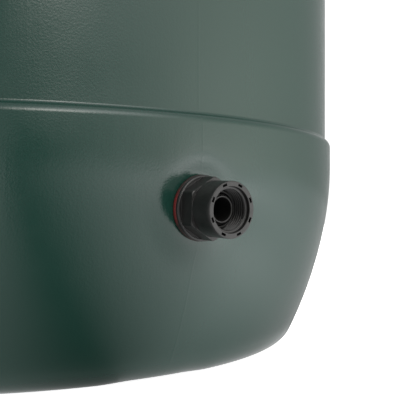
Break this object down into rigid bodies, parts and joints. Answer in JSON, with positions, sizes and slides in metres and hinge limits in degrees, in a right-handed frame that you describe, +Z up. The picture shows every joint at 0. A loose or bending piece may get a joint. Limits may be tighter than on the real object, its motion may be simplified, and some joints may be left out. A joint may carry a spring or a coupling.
{
  "type": "rain barrel",
  "caption": "Round green plastic rain barrel with a latched lid, a leaf strainer in the lid, a threaded outlet low on the front and a hose overflow at the back.",
  "frame": {"origin": "centre of the base, on the plane of the foot ring", "axes": "+Z up along the barrel's axis; the threaded outlet is on the -Y side and the overflow on the +Y side, both on the mould's parting plane X = 0"},
  "size_m": [0.58, 0.6511, 0.955],
  "materials": {
    "barrel_green": "satin blow-moulded polyethylene with fine orange-peel grain",
    "lid_green": "satin injection-moulded polyethylene",
    "fitting_black": "satin glass-filled polypropylene",
    "red_rubber": "matte",
    "black_rubber": "matte",
    "steel": "stainless"
  },
  "bodies": {
    "barrel": {"barrel_body": "barrel_green", "outlet_fitting": "fitting_black", "outlet_red_washer": "red_rubber", "outlet_back_washer": "black_rubber", "outlet_back_nut": "fitting_black", "overflow_fitting": "fitting_black", "overflow_washer": "black_rubber", "overflow_back_washer": "black_rubber", "overflow_back_nut": "fitting_black"},
    "lid": {"lid": "lid_green"},
    "strainer": {"strainer_basket": "fitting_black", "strainer_screen": "steel", "strainer_clip_ring": "fitting_black"},
    "latch_1": {"latch_1_handle": "fitting_black", "latch_1_cam": "fitting_black", "latch_1_screw": "steel"},
    "latch_2": {"latch_2_handle": "fitting_black", "latch_2_cam": "fitting_black", "latch_2_screw": "steel"},
    "latch_3": {"latch_3_handle": "fitting_black", "latch_3_cam": "fitting_black", "latch_3_screw": "steel"},
    "latch_4": {"latch_4_handle": "fitting_black", "latch_4_cam": "fitting_black", "latch_4_screw": "steel"}
  },
  "joints": [
    {"name": "lid_lift", "type": "slide", "parent": "barrel", "child": "lid", "axis": [0, 0, 1], "range_m": [0, 0.12]},
    {"name": "strainer_lift", "type": "slide", "parent": "lid", "child": "strainer", "axis": [0, 0, 1], "range_m": [0, 0.1]},
    {"name": "latch_1_turn", "type": "hinge", "parent": "lid", "child": "latch_1", "pos_m": [0.21001, 0.21001, 0.92], "axis": [0, 0, 1], "range_deg": [0, 90]},
    {"name": "latch_2_turn", "type": "hinge", "parent": "lid", "child": "latch_2", "pos_m": [-0.21001, 0.21001, 0.92], "axis": [0, 0, 1], "range_deg": [0, 90]},
    {"name": "latch_3_turn", "type": "hinge", "parent": "lid", "child": "latch_3", "pos_m": [-0.21001, -0.21001, 0.92], "axis": [0, 0, 1], "range_deg": [0, 90]},
    {"name": "latch_4_turn", "type": "hinge", "parent": "lid", "child": "latch_4", "pos_m": [0.21001, -0.21001, 0.92], "axis": [0, 0, 1], "range_deg": [0, 90]}
  ]
}
